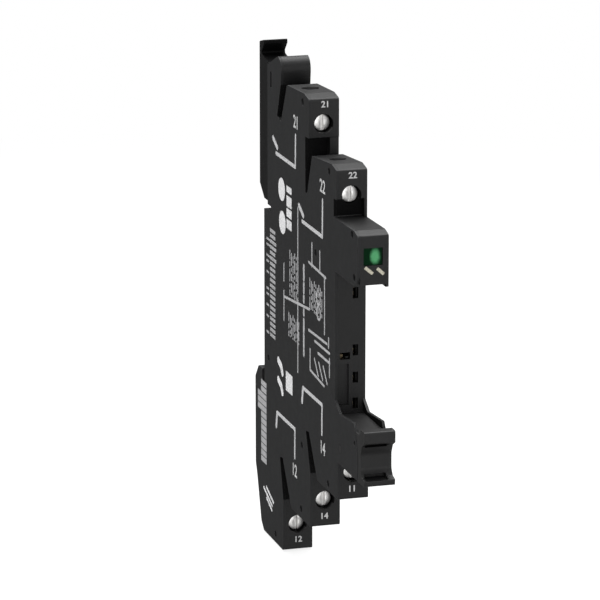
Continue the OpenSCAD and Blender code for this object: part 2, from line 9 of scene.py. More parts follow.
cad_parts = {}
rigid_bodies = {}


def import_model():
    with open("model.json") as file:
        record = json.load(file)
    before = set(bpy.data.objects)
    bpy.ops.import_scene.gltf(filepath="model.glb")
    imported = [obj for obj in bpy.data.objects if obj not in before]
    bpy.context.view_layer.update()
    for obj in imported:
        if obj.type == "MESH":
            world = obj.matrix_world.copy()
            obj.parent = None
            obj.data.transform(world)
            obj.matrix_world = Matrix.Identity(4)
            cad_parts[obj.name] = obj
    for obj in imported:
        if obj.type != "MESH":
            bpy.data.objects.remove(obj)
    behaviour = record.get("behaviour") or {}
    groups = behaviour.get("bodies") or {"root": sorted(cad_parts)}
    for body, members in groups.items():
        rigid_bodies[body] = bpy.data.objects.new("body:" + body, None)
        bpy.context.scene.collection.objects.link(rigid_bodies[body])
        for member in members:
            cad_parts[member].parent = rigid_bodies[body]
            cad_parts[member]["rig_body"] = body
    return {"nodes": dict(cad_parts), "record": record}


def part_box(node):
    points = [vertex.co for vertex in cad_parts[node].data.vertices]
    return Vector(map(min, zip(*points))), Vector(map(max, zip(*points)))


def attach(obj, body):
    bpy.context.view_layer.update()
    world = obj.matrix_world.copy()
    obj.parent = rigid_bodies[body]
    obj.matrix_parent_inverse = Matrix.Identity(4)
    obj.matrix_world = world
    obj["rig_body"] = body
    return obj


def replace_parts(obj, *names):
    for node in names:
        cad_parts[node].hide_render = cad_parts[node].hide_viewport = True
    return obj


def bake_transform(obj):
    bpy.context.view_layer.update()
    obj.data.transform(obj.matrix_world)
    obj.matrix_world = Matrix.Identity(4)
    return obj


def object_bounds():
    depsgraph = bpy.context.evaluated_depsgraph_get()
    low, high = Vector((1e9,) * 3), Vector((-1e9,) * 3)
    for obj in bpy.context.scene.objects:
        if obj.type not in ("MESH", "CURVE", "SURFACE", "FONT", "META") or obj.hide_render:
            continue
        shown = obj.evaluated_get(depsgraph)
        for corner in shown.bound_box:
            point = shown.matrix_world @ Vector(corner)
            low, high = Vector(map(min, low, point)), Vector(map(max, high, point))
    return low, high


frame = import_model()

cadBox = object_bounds()
nodes = frame["nodes"]
scene = bpy.context.scene
mm = 0.001
weld = 0.0005 * mm  # points closer than this are one
print("frame loaded with", len(nodes), "nodes")


class Wire:  # a node's output that can be used in sums
    def __init__(self, graph, socket):
        self.graph = graph
        self.socket = socket

    def combine(self, operation, first, second):
        return self.graph.add("ShaderNodeMath", {"operation": operation}, [first, second])

    def __add__(self, other):
        return self.combine("ADD", self, other)

    def __sub__(self, other):
        return self.combine("SUBTRACT", self, other)

    def __rsub__(self, other):
        return self.combine("SUBTRACT", other, self)

    def __mul__(self, other):
        return self.combine("MULTIPLY", self, other)

    __radd__ = __add__
    __rmul__ = __mul__


class Graph:  # the node tree of one material or of the world
    def __init__(self, owner):
        owner.use_nodes = True
        self.owner = owner
        self.tree = owner.node_tree
        self.tree.nodes.clear()

    def add(self, kind, settings=None, values=(), output=0):
        node = self.tree.nodes.new(kind)
        for key, value in (settings or {}).items():
            setattr(node, key, value)
        pairs = values.items() if isinstance(values, dict) else enumerate(values)
        for key, value in pairs:
            if isinstance(value, Wire):
                self.tree.links.new(value.socket, node.inputs[key])
            else:
                node.inputs[key].default_value = value
        return Wire(self, node.outputs[output]) if node.outputs else None

    def place(self, centre=(0, 0, 0), scale=(1, 1, 1)):  # Object coordinates about a centre
        moved = [-c * s for c, s in zip(centre, scale)]
        where = self.add("ShaderNodeTexCoord", output="Object")
        return self.add("ShaderNodeMapping", {"vector_type": "POINT"},
                        {"Vector": where, "Location": moved, "Scale": scale})

    def noise(self, where, scale, detail=2.0):
        return self.add("ShaderNodeTexNoise", {},
                        {"Vector": where, "Scale": scale, "Detail": detail})

    def between(self, value, low, high, toLow=0.0, toHigh=1.0):
        return self.add("ShaderNodeMapRange", {"interpolation_type": "SMOOTHSTEP"},
                        [value, low, high, toLow, toHigh])

    def mix(self, factor, first, second):
        return self.add("ShaderNodeMix", {"data_type": "RGBA"},
                        {0: factor, 6: first, 7: second}, output=2)

    def bump(self, height, distance, strength):
        return self.add("ShaderNodeBump", {},
                        {"Height": height, "Distance": distance, "Strength": strength})

    def surface(self, **sockets):
        names = {key.replace("_", " "): value for key, value in sockets.items()}
        return self.add("ShaderNodeBsdfPrincipled", {}, names)

    def finish(self, shader, kind="ShaderNodeOutputMaterial"):
        self.add(kind, {}, {"Surface": shader})
        return self.owner


def newGraph(name):
    return Graph(bpy.data.materials.new(name))


def tone(level, tint=(1, 1, 1)):
    return [level * t for t in tint] + [1]


plastics = {
    "housingPlastic": {
        "level": 0.004, "tint": (1, 1, 1.03), "rough": 0.47, "grain": 0.30, "ior": 1.30},
    # painted shade: a darker, duller plastic for the slot walls that lie in shadow
    "paintedShadePlastic": {
        "level": 0.003, "tint": (1, 1, 1.03), "rough": 0.70, "grain": 0.30, "ior": 1.11},
    "coverPlastic": {
        "level": 0.005, "tint": (0.96, 1, 1.08), "rough": 0.56, "grain": 0.34, "ior": 1.31},
    "latchPlastic": {
        "level": 0.002, "tint": (1, 1, 1.02), "rough": 0.40, "grain": 0.20, "ior": 1.12},
    "clipPlastic": {
        "level": 0.004, "tint": (1, 1, 1.02), "rough": 0.46, "grain": 0.26, "ior": 1.32},
}
# Scales of what shows in every moulding, and how much of it
mouldLook = {
    "flow": 120, "grain": 7000, "fibres": 16000, "rubbed": 420,
    "drift": (0.8, 1.2), "fibreShare": 0.35, "fibreLevel": 3, "fibreFrom": (0.66, 0.8),
    "grainRough": 0.08, "rubbedRough": 0.10, "offset": 0.07, "relief": 0.02 * mm,
}


def mouldedPlastic(name):  # glass-filled black plastic with a spark-eroded grain
    look = plastics[name]
    mould = mouldLook
    graph = newGraph(name)
    where = graph.place()
    flow = graph.noise(where, mould["flow"], 3)       # slow drift where the melt ran
    grain = graph.noise(where, mould["grain"], 3)     # texture of the mould
    specks = graph.noise(where, mould["fibres"], 1)   # ends of glass fibres
    rubbed = graph.noise(where, mould["rubbed"], 4)   # handling marks
    low, high = [tone(look["level"] * share, look["tint"]) for share in mould["drift"]]
    pale = graph.between(specks, *mould["fibreFrom"], 0, mould["fibreShare"])
    colour = graph.mix(pale, graph.mix(flow, low, high),
                       tone(look["level"] * mould["fibreLevel"], look["tint"]))
    rough = (look["rough"] - mould["offset"] + grain * mould["grainRough"]
             + rubbed * mould["rubbedRough"])
    return graph.finish(graph.surface(
        Base_Color=colour, Roughness=rough, IOR=look["ior"],
        Normal=graph.bump(grain + 0.5 * specks, mould["relief"], look["grain"])))


metals = {
    "platedSteel": {"level": 0.50, "tint": (1, 0.99, 0.97), "rough": 0.26},
    "cageSteel": {"level": 0.62, "tint": (1, 0.97, 0.86), "rough": 0.34},
    "springSteel": {"level": 0.62, "tint": (1, 1, 1.02), "rough": 0.28},
    "contactAlloy": {"level": 0.20, "tint": (1, 0.80, 0.52), "rough": 0.36},
}
metalLook = {"stain": 900, "scratch": 2600, "drawn": (1, 1, 9), "dulled": 0.72,
             "dullFrom": (0.35, 0.75), "relief": 0.015 * mm, "strength": 0.25}


def bareMetal(name):
    look = metals[name]
    graph = newGraph(name)
    stain = graph.noise(graph.place(), metalLook["stain"], 4)
    scratch = graph.noise(graph.place(scale=metalLook["drawn"]), metalLook["scratch"], 3)
    colour = graph.mix(graph.between(stain, *metalLook["dullFrom"]),
                       tone(look["level"], look["tint"]),
                       tone(look["level"] * metalLook["dulled"], look["tint"]))
    return graph.finish(graph.surface(
        Base_Color=colour, Metallic=1.0,
        Roughness=look["rough"] + 0.14 * scratch + 0.10 * stain,
        Normal=graph.bump(scratch + 0.4 * stain, metalLook["relief"], metalLook["strength"])))


inks = {
    "markInk": {"level": 0.48, "tint": (1, 1, 1.01), "thin": 0.30},
    "leadInk": {"level": 0.34, "tint": (1, 1, 1.02), "thin": 0.20},
    "diagramInk": {"level": 0.27, "tint": (1, 1, 1.02), "thin": 0.15},
    "scaleInk": {"level": 0.24, "tint": (1, 1, 1.02), "thin": 0.13},
    "footInk": {"level": 0.25, "tint": (1, 1, 1.02), "thin": 0.16},
    "numeralInk": {"level": 0.36, "tint": (1, 1, 1), "thin": 0.20},
    "buffInk": {"level": 0.30, "tint": (1, 0.94, 0.74), "thin": 0.18},
}


inkGrain = {"starved": 5200, "starvedFrom": (0.50, 0.70), "drift": 500, "spread": (0.9, 1.1),
            "rough": 0.5, "relief": 0.008 * mm, "strength": 0.3}


def padPrint(name):  # pad-printed ink, thinner where the grain of the plastic shows through
    look = inks[name]
    graph = newGraph(name)
    where = graph.place()
    starved = graph.between(graph.noise(where, inkGrain["starved"], 3), *inkGrain["starvedFrom"])
    low, high = [tone(look["level"] * share, look["tint"]) for share in inkGrain["spread"]]
    body = graph.mix(graph.noise(where, inkGrain["drift"], 2), low, high)
    return graph.finish(graph.surface(
        Base_Color=graph.mix(starved, body, tone(look["thin"], look["tint"])),
        Roughness=inkGrain["rough"] + 0.25 * starved,
        Normal=graph.bump(starved, inkGrain["relief"], inkGrain["strength"])))


# Painted light on the indicator window: the size, place and fade of its lit spot, and the colour of
# its painted glow
lensLook = {
    "glowWidth": 1.15, "glowHeight": 1.7, "glowAt": (0.45, -0.3), "glowFade": (1.25, 0.55),
    "deep": (0.0, 0.010, 0.0025, 1), "lit": (0.042, 0.165, 0.072, 1),
    "paintedGlow": (0.018, 0.066, 0.028, 1), "ripple": 1500, "rough": 0.16, "ior": 1.12,
}


def greenLens(name):  # green window, with a painted highlight and a painted glow where the round indicator sits behind it to one side
    low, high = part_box("indicator_window")
    across, up = lensLook["glowAt"]
    middle = (low + high) / 2 + Vector((across, 0, up)) * mm
    graph = newGraph(name)
    spread = (1 / (lensLook["glowWidth"] * mm), 0.0, 1 / (lensLook["glowHeight"] * mm))
    away = graph.add("ShaderNodeVectorMath", {"operation": "LENGTH"},
                     [graph.place(middle, spread)], output="Value")
    ripple = graph.noise(graph.place(), lensLook["ripple"], 2)
    paintedGlow = graph.between(away + 0.3 * ripple, *lensLook["glowFade"])
    return graph.finish(graph.surface(
        Base_Color=graph.mix(paintedGlow, lensLook["deep"], lensLook["lit"]),
        Roughness=lensLook["rough"] + 0.08 * ripple, IOR=lensLook["ior"],
        # the lens glows with painted light, though no lamp is in it
        Emission_Color=graph.mix(paintedGlow, tone(0), lensLook["paintedGlow"]), Emission_Strength=1.0,
        Normal=graph.bump(ripple, 0.03 * mm, 0.3)))


boardLook = {"weave": 900, "traces": 900, "traceEdge": (0.5, 0.54), "low": (0.012, 0.085, 0.030, 1),
             "high": (0.020, 0.125, 0.045, 1), "trace": (0.035, 0.20, 0.075, 1), "rough": 0.34}


def boardLaminate(name):  # green lacquer on woven glass; the copper under it shows lighter
    graph = newGraph(name)
    where = graph.place()
    weave = graph.add("ShaderNodeTexWave", {"wave_type": "BANDS", "bands_direction": "Y"},
                      {"Vector": where, "Scale": boardLook["weave"], "Distortion": 1.5})
    mask = graph.between(graph.noise(where, boardLook["traces"], 1), *boardLook["traceEdge"])
    green = graph.mix(weave, boardLook["low"], boardLook["high"])
    return graph.finish(graph.surface(
        Base_Color=graph.mix(mask, green, boardLook["trace"]),
        Roughness=boardLook["rough"] + 0.1 * weave,
        Normal=graph.bump(weave + mask, 0.02 * mm, 0.3)))


smallParts = {
    "ledEpoxy": {
        "low": (0.30, 0.62, 0.36, 1), "high": (0.46, 0.82, 0.52, 1), "rough": 0.18},
    "chipCeramic": {
        "low": (0.016, 0.016, 0.017, 1), "high": (0.030, 0.030, 0.031, 1), "rough": 0.42},
    "componentEpoxy": {
        "low": (0.014, 0.014, 0.015, 1), "high": (0.026, 0.026, 0.028, 1), "rough": 0.55},
}


def smallPart(name):
    look = smallParts[name]
    graph = newGraph(name)
    where = graph.place()
    cloud = graph.noise(where, 1400, 4)
    grain = graph.noise(where, 12000, 2)
    return graph.finish(graph.surface(
        Base_Color=graph.mix(cloud, look["low"], look["high"]),
        Roughness=look["rough"] + 0.12 * grain, Normal=graph.bump(grain, 0.01 * mm, 0.3)))


finishes = {
    "housing_plastic": mouldedPlastic("housingPlastic"),
    "cover_plastic": mouldedPlastic("coverPlastic"),
    "latch_plastic": mouldedPlastic("latchPlastic"),
    "clip_plastic": mouldedPlastic("clipPlastic"),
    "spring_steel": bareMetal("springSteel"),
    "plated_steel": bareMetal("platedSteel"),
    "cage_steel": bareMetal("cageSteel"),
    "contact_alloy": bareMetal("contactAlloy"),
    "board_laminate": boardLaminate("boardLaminate"),
    "led_epoxy": smallPart("ledEpoxy"),
    "green_window": greenLens("greenLens"),
    "chip_ceramic": smallPart("chipCeramic"),
    "component_epoxy": smallPart("componentEpoxy"),
}
slotOf = {part["node"]: part["material_slot"] for part in frame["record"]["subparts"]}
for name, piece in nodes.items():
    for holder in piece.material_slots:
        holder.material = finishes[slotOf[name]]
print("finishes ready:", len(finishes))


def makePiece(name, mesh, finish, body, smoothUnder=0.0):
    bmesh.ops.recalc_face_normals(mesh, faces=mesh.faces)
    limit = math.radians(smoothUnder)
    for face in mesh.faces:
        face.smooth = smoothUnder > 0
    for edge in mesh.edges:
        edge.smooth = len(edge.link_faces) == 2 and edge.calc_face_angle() < limit
    data = bpy.data.meshes.new(name)
    mesh.to_mesh(data)
    mesh.free()
    data.materials.append(finish)
    piece = bpy.data.objects.new(name, data)
    scene.collection.objects.link(piece)
    if smoothUnder > 0:  # the large faces keep their own shading, and the rounded edges blend
        even = piece.modifiers.new("evenShading", "WEIGHTED_NORMAL")
        even.weight = 100
        even.keep_sharp = True
    if body:  # a piece given no body rides on none
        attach(piece, body)
    return piece


def cutBox(mesh, low, high):  # takes a box out of a mesh through a Boolean modifier
    blankMesh = bpy.data.meshes.new("blank")
    mesh.to_mesh(blankMesh)
    mesh.clear()
    bmesh.ops.create_cube(mesh, size=1, matrix=Matrix.Translation((low + high) / 2)
                          @ Matrix.Diagonal((*(high - low), 1)))
    cutterMesh = bpy.data.meshes.new("cutter")
    mesh.to_mesh(cutterMesh)
    mesh.clear()
    blank = bpy.data.objects.new("blank", blankMesh)
    cutter = bpy.data.objects.new("cutter", cutterMesh)
    scene.collection.objects.link(blank)
    scene.collection.objects.link(cutter)
    cut = blank.modifiers.new("cut", "BOOLEAN")
    cut.operation = "DIFFERENCE"
    cut.solver = "EXACT"
    cut.object = cutter
    bpy.context.view_layer.update()
    made = blank.evaluated_get(bpy.context.evaluated_depsgraph_get())
    mesh.from_mesh(made.to_mesh())
    bpy.data.objects.remove(blank)
    bpy.data.objects.remove(cutter)


edgeLook = {"radius": 0.1, "sharp": 32, "flat": 0.4, "segments": 2, "smoothUnder": 50}
# painted shade for the far and rear walls deep in the slots
paintedSlotShade = mouldedPlastic("paintedShadePlastic")

# Places [y, z] of the pegs in the cover, whose ends are sunk below its face
pegLook = {
    "reach": 0.6, "flush": 0.05, "sunk": 1.0, "flare": 1.35,
    "at": [(-27.6, 44.3), (-45.6, 34.2), (-60.7, 25.2), (-62.1, 17.1), (-45.3, -28.6),
           (-26.6, -39.3), (-8.0, -50.3), (-27.1, -25.8), (-36.5, 16.0), (-3.0, -14.0)],
}

# Crown of the finger rest: heights between which it rises, and its front and rear
restLook = {"from": 47.3, "to": 50.7, "rise": 0.65, "front": -13.4, "rear": -2.9}

# Bus slots: corners [y, z] that move forward, and how far; ends [y, z] of the rear walls,
# which lie in shade as the far walls do and take the painted shade finish
slotLook = {
    "reach": 0.62, "wallReach": 0.5, "farFrom": 0.5, "facesFar": -0.9, "facesAcross": 0.3,
    "moves": [(-17.2, -41.2, -2.4), (-12.6, -32.3, -0.8), (-35.5, -30.0, -2.4),
              (-31.3, -21.6, -0.8), (-11.7, 37.2, -0.6)],
    "walls": [[(-12.2, 44.7), (-9.6, 38.0)], [(-29.4, 37.8), (-29.6, 26.6)],
              [(-48.7, 29.4), (-48.7, 26.2)], [(-30.0, -22.0), (-33.1, -29.8)],
              [(-11.4, -32.7), (-13.8, -41.0)]],
}

# Moulded groove under the finger piece's upper flange, down from its top and in from its front
grooveLook = {"left": -2.5, "right": 1.9, "top": 2.6, "bottom": 3.4, "deep": 3.6}


def isNear(vert, y, z, reach):  # in millimetres, seen across the cover
    return math.hypot(vert.co.y / mm - y, vert.co.z / mm - z) < reach


def sinkPegs(mesh):
    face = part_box("housing")[0].x
    for vert in mesh.verts:
        flush = vert.co.x - face < pegLook["flush"] * mm
        if flush and any(isNear(vert, y, z, pegLook["reach"]) for y, z in pegLook["at"]):
            vert.co.x += pegLook["sunk"] * mm


def flareHoles(mesh):  # the cover's holes open out over the sunk pegs
    for y, z in pegLook["at"]:
        centre = Vector((y, z)) * mm
        for vert in mesh.verts:
            if isNear(vert, y, z, pegLook["reach"]):
                vert.co.yz = centre + (vert.co.yz - centre) * pegLook["flare"]


def raiseRest(mesh):
    look = restLook
    for vert in mesh.verts:
        if look["front"] * mm < vert.co.y < look["rear"] * mm and vert.co.z > look["from"] * mm:
            share = (vert.co.z / mm - look["from"]) / (look["to"] - look["from"])
            vert.co.z += look["rise"] * mm * min(share, 1)


def widenSlots(mesh):
    for vert in mesh.verts:
        for y, z, move in slotLook["moves"]:
            if isNear(vert, y, z, slotLook["reach"]):
                vert.co.y += move * mm
                break


def shadeSlots(mesh):  # the far and rear walls of the slots take the darker finish, painted shade for the shadow deep in the narrow slots
    look = slotLook
    walls = [[Vector((0, y, z)) * mm for y, z in ends] for ends in look["walls"]]
    for face in mesh.faces:
        centre = face.calc_center_median()
        flat = Vector((0, centre.y, centre.z))
        dark = face.normal.x < look["facesFar"] and centre.x > look["farFrom"] * mm
        if abs(face.normal.x) < look["facesAcross"]:
            for start, end in walls:
                near, share = intersect_point_line(flat, start, end)
                reached = (near - flat).length < look["wallReach"] * mm
                dark = dark or (reached and 0 <= share <= 1)
        face.material_index = 1 if dark else 0


def grooveClip(mesh):
    low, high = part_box("retaining_clip")
    look = grooveLook
    cutBox(mesh, Vector((look["left"] * mm, low.y - mm, high.z - look["bottom"] * mm)),
           Vector((look["right"] * mm, low.y + look["deep"] * mm, high.z - look["top"] * mm)))


def softenMoulding(name):  # the same moulding with its sharp edges broken, as a mould leaves them
    mesh = bmesh.new()
    mesh.from_mesh(nodes[name].data)
    bmesh.ops.remove_doubles(mesh, verts=mesh.verts, dist=weld)
    bmesh.ops.dissolve_limit(mesh, angle_limit=math.radians(edgeLook["flat"]),
                             verts=mesh.verts, edges=mesh.edges)
    slotted = name in ("housing", "side_cover")
    if name == "housing":
        sinkPegs(mesh)
    if name == "side_cover":
        flareHoles(mesh)
    if slotted:
        raiseRest(mesh)
        widenSlots(mesh)
    if name == "retaining_clip":
        grooveClip(mesh)
    crests = [edge for edge in mesh.edges
              if len(edge.link_faces) == 2 and edge.is_convex
              and edge.calc_face_angle() > math.radians(edgeLook["sharp"])]
    bmesh.ops.bevel(mesh, geom=crests, offset=edgeLook["radius"] * mm, offset_type="OFFSET",
                    segments=edgeLook["segments"], profile=0.5, affect="EDGES",
                    clamp_overlap=True, material=-1)
    slot = slotOf[name]
    mesh.normal_update()
    if slotted:
        shadeSlots(mesh)
    piece = makePiece(name + "_moulding", mesh, finishes[slot], nodes[name]["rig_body"],
                      edgeLook["smoothUnder"])
    if slotted:
        # the second material carries the painted shade of the slot walls
        piece.data.materials.append(paintedSlotShade)
    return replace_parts(piece, name)


screwLook = {
    "headHeight": 1.6, "rim": 0.28, "dome": 0.06, "crown": 0.015, "underChamfer": 0.12,
    "slotWidth": 0.72, "slotDepth": 0.85, "lip": 0.05, "lipAngle": 60, "lipZone": 0.3,
    "point": 0.35, "lead": 0.5, "steps": 48, "smoothUnder": 28,
}
threadLook = {"crest": 1.22, "depth": 0.13, "pitch": 0.5, "width": 0.44, "crestWidth": 0.06,
              "rooted": 0.04, "clear": 0.2, "steps": 20}  # steps a turn


def spinProfile(mesh, points, height, steps):  # revolves [radius, y] points about the screw
    verts = [mesh.verts.new((radius, y, height)) for radius, y in points]
    edges = [mesh.edges.new(pair) for pair in zip(verts, verts[1:])]
    bmesh.ops.spin(mesh, geom=verts + edges, cent=(0, 0, height), axis=(0, 1, 0),
                   angle=math.tau, steps=steps, use_merge=True)
    bmesh.ops.remove_doubles(mesh, verts=mesh.verts, dist=2 * weld)


def makeScrew(number):
    node = f"terminal_screw_{number}"
    low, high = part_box(node)
    look = {key: value * mm for key, value in screwLook.items()}
    height = (low.z + high.z) / 2
    headR = (high.x - low.x) / 2
    front, tip = low.y, high.y
    seat = front + look["headHeight"]
    root = (threadLook["crest"] - threadLook["depth"]) * mm
    rim = look["rim"]
    arc = [(headR - rim + rim * math.sin(a), front + look["dome"] + rim - rim * math.cos(a))
           for a in (0, math.pi / 6, math.pi / 3, math.pi / 2)]
    mesh = bmesh.new()
    spinProfile(mesh, [(0, front), (headR * 0.5, front + look["crown"]), *arc,
                       (headR, seat - look["underChamfer"]), (headR - look["underChamfer"], seat),
                       (root, seat), (root, tip - look["lead"]), (root - look["point"], tip),
                       (0, tip)], height, screwLook["steps"])
    bmesh.ops.recalc_face_normals(mesh, faces=mesh.faces)
    half = look["slotWidth"] / 2
    cutBox(mesh, Vector((-half, front - mm, low.z - mm)),
           Vector((half, front + look["slotDepth"], high.z + mm)))
    lips = [edge for edge in mesh.edges
            if edge.calc_face_angle(0) > math.radians(screwLook["lipAngle"])
            and all(abs(abs(vert.co.x) - half) < 0.01 * mm and vert.co.y < front + look["lipZone"]
                    for vert in edge.verts)]
    bmesh.ops.bevel(mesh, geom=lips, offset=look["lip"], offset_type="OFFSET", segments=2,
                    profile=0.5, affect="EDGES", clamp_overlap=True, material=-1)
    addThread(mesh, seat + threadLook["clear"] * mm, tip - look["lead"], height)
    piece = makePiece(f"slotted_screw_{number}", mesh, finishes["plated_steel"],
                      nodes[node]["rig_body"], screwLook["smoothUnder"])
    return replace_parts(piece, node)


def addThread(mesh, start, end, height):  # a blunt ridge that climbs along the shank
    look = {key: value * mm for key, value in threadLook.items()}
    turns = (end - start) / look["pitch"]
    steps = round(turns * threadLook["steps"])
    crest = look["crest"]
    base = crest - look["depth"] - look["rooted"]
    wide, narrow = look["width"] / 2, look["crestWidth"] / 2
    ridge = [mesh.verts.new((radius, start + y, height)) for radius, y in
             [(base, -wide), (crest, -narrow), (crest, narrow), (base, wide)]]
    edges = [mesh.edges.new((vert, ridge[k - 3])) for k, vert in enumerate(ridge)]
    mesh.faces.new(ridge)
    made = bmesh.ops.spin(mesh, geom=ridge + edges, cent=(0, 0, height), axis=(0, 1, 0),
                          dvec=(0, look["pitch"] * turns / steps, 0),
                          angle=math.tau * turns, steps=steps)
    bmesh.ops.contextual_create(mesh, geom=[item for item in made["geom_last"]
                                            if isinstance(item, bmesh.types.BMEdge)])


printLook = {"height": 0.016, "rise": 0.04, "rises": 13, "line": 0.8, "tick": 1.1,
             "dotSides": 24}
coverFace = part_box("side_cover")[0].x


def inkHeight(mesh):  # strokes differ a little in height, so that crossing ones share no face
    look = printLook
    return look["height"] * mm * (1 + look["rise"] * (len(mesh.faces) % look["rises"]))


def inkStroke(mesh, start, end, width):  # one straight stroke on the cover, from [y, z] to [y, z]
    start, end = Vector(start) * mm, Vector(end) * mm
    way = end - start
    height = inkHeight(mesh)
    turn = Matrix.Rotation(math.atan2(way.y, way.x), 4, "X")
    middle = Vector((coverFace - height / 2, *((start + end) / 2)))
    size = Matrix.Diagonal((height, way.length, width * mm, 1))
    bmesh.ops.create_cube(mesh, size=1, matrix=Matrix.Translation(middle) @ turn @ size)


def inkDot(mesh, centre, radius):
    height = inkHeight(mesh)
    place = Matrix.Translation((coverFace - height / 2, centre[0] * mm, centre[1] * mm))
    bmesh.ops.create_cone(mesh, cap_ends=True, segments=printLook["dotSides"],
                          radius1=radius * mm, radius2=radius * mm, depth=height,
                          matrix=place @ Matrix.Rotation(math.pi / 2, 4, "Y"))


def inkPath(mesh, points, width=None, closed=False):
    width = width or printLook["line"]
    ends = points + points[:1] if closed else points
    for start, end in zip(ends, ends[1:]):
        inkStroke(mesh, start, end, width)
    for point in points:
        inkDot(mesh, point, width / 2)


def inkRing(mesh, centre, radius, width, sides):
    turns = [math.tau * k / sides for k in range(sides)]
    ring = [(centre[0] + radius * math.cos(turn), centre[1] + radius * math.sin(turn))
            for turn in turns]
    inkPath(mesh, ring, width, closed=True)


hatchLook = {"width": 0.42, "pitch": 1.05, "gap": 0.45, "stagger": 0.4,
             "lengths": (1.9, 1.1, 2.6, 0.8, 1.5)}


def inkHatch(mesh, rear, front, top, bottom):  # a patch of fine broken lines
    look = hatchLook
    count = round(abs(rear - front) / look["pitch"])
    for k in range(count + 1):
        y = rear + (front - rear) * k / count
        z = top - look["stagger"] * (k % 3)
        part = 2 * k
        while z > bottom:
            length = look["lengths"][part % len(look["lengths"])]
            inkStroke(mesh, (y, z), (y, max(z - length, bottom)), look["width"])
            z -= length + look["gap"]
            part += 1


# Leads from the diagram to the terminals: corner points, and the tick at the diagram's end
leads = [
    {"path": [(-9.0, 30.2), (-22.6, 30.2), (-22.8, 36.6)], "tick": [(-6.8, 32.9), (-9.8, 31.5)]},
    {"path": [(-27.4, 20.3), (-41.2, 20.3), (-41.4, 27.6)], "tick": [(-25.2, 23.0), (-28.2, 21.6)]},
    {"path": [(-28.2, -13.6), (-41.2, -13.6), (-41.1, -19.6)],
     "tick": [(-28.0, -13.8), (-27.4, -16.6)]},
    {"path": [(-9.6, -23.8), (-22.3, -23.8), (-22.2, -29.8)],
     "tick": [(-9.4, -24.0), (-8.8, -26.8)]},
]


def printLeads():
    mesh = bmesh.new()
    for lead in leads:
        inkPath(mesh, lead["path"])
        inkPath(mesh, lead["tick"], printLook["tick"])
    return makePiece("lead_print", mesh, padPrint("leadInk"), "base")


# Diagram of the relay between the leads: [y, z] ends of plain strokes
diagramLook = {
    "line": 0.55, "dashWidth": 1.0, "dashAt": -28.6, "ringR": 1.3, "ringLine": 0.5, "ringSides": 18,
    "strokes": [
        [(-24.4, 22.3), (-24.4, -11.3)], [(-14.5, 8.6), (-14.5, 5.2)],
        [(-14.5, 3.0), (-14.5, -3.0)], [(-34.2, 17.4), (-34.2, 12.8)],
        [(-39.6, 17.0), (-39.6, 13.2)], [(-32.0, 13.1), (-43.6, 12.6)],
        [(-14.8, 1.9), (-32.4, 3.6)], [(-32.0, -0.7), (-44.6, -0.4)],
        [(-36.2, -1.9), (-46.2, -1.9)], [(-38.4, -3.8), (-46.4, -3.8)],
        [(-33.0, -4.4), (-33.0, -8.6)], [(-33.0, -8.6), (-42.6, -9.4)],
        [(-42.8, 12.2), (-42.8, 1.2)], [(-45.6, 1.0), (-45.6, -0.8)],
        [(-46.2, -3.0), (-46.2, -6.6)], [(-36.0, -5.6), (-38.6, -8.4)],
        [(-39.0, -5.6), (-41.6, -8.4)], [(-42.0, -5.6), (-44.6, -8.4)],
    ],
    "dashes": [(11.4, 8.8), (7.8, 6.2), (5.2, 4.3), (2.4, 1.6), (0.4, -2.0), (-2.8, -5.0),
               (-5.8, -6.6)],
    "patches": [(-18.8, -24.4, 12.5, 3.1), (-32.8, -41.0, 10.1, 3.6), (-18.0, -25.1, -0.5, -5.5)],
    "rings": [(-38.6, 7.4), (-38.8, 4.4)],
}


def printDiagram():
    mesh = bmesh.new()
    look = diagramLook
    for stroke in look["strokes"]:
        inkPath(mesh, stroke, look["line"])
    for top, bottom in look["dashes"]:
        inkPath(mesh, [(look["dashAt"], top), (look["dashAt"], bottom)], look["dashWidth"])
    for patch in look["patches"]:
        inkHatch(mesh, *patch)
    for centre in look["rings"]:
        inkRing(mesh, centre, look["ringR"], look["ringLine"], look["ringSides"])
    return makePiece("diagram_print", mesh, padPrint("diagramInk"), "base")


# Bold marks: discs, bars, two short curves, a block and the strokes on the foot
boldLook = {
    "discs": [(-12.9, 23.6), (-13.4, 16.9)], "discR": 2.35,
    "barsAt": (-17.0, -18.2, -19.4), "barWidth": 1.1,
    "bars": [(25.2, 23.9), (23.2, 21.0), (20.6, 18.9), (18.4, 16.5)],
    "lower": [[(-10.4, -12.5), (-12.5, -13.3), (-13.3, -14.5)],
              [(-10.4, -16.6), (-12.5, -17.4), (-13.3, -18.6)]],
    "lowerWidth": 1.5,
    "block": {"at": (-16.4, -17.6, -18.8, -20.0), "top": -13.3, "bottom": -17.3, "width": 1.1},
    "footMark": [[(0.6, -42.7), (-5.6, -44.9)], [(-1.4, -42.1), (-6.6, -43.9)],
                 [(-1.6, -44.4), (-5.4, -45.9)]],
    "footMarkWidth": 0.6,
}


def printMarks():
    mesh = bmesh.new()
    look = boldLook
    for centre in look["discs"]:
        inkDot(mesh, centre, look["discR"])
    for y in look["barsAt"]:
        for top, bottom in look["bars"]:
            inkStroke(mesh, (y, top), (y, bottom), look["barWidth"])
    for stroke in look["lower"]:
        inkPath(mesh, stroke, look["lowerWidth"])
    block = look["block"]
    for y in block["at"]:
        inkStroke(mesh, (y, block["top"]), (y, block["bottom"]), block["width"])
    for stroke in look["footMark"]:
        inkPath(mesh, stroke, look["footMarkWidth"])
    return makePiece("mark_print", mesh, padPrint("markInk"), "base")


# Two columns of short rows near the rear edge: rear, front, and the rows' share of a step
scaleLook = {"top": 13.4, "bottom": -8.5, "rows": 19, "wide": (-4.4, -8.2, 0.62),
             "narrow": (-1.8, -3.6, 0.4), "longRows": (2, 3, 5), "longer": 0.7,
             "bareRows": (0, 1, 4, 7, 9, 10, 13, 15, 17, 18)}


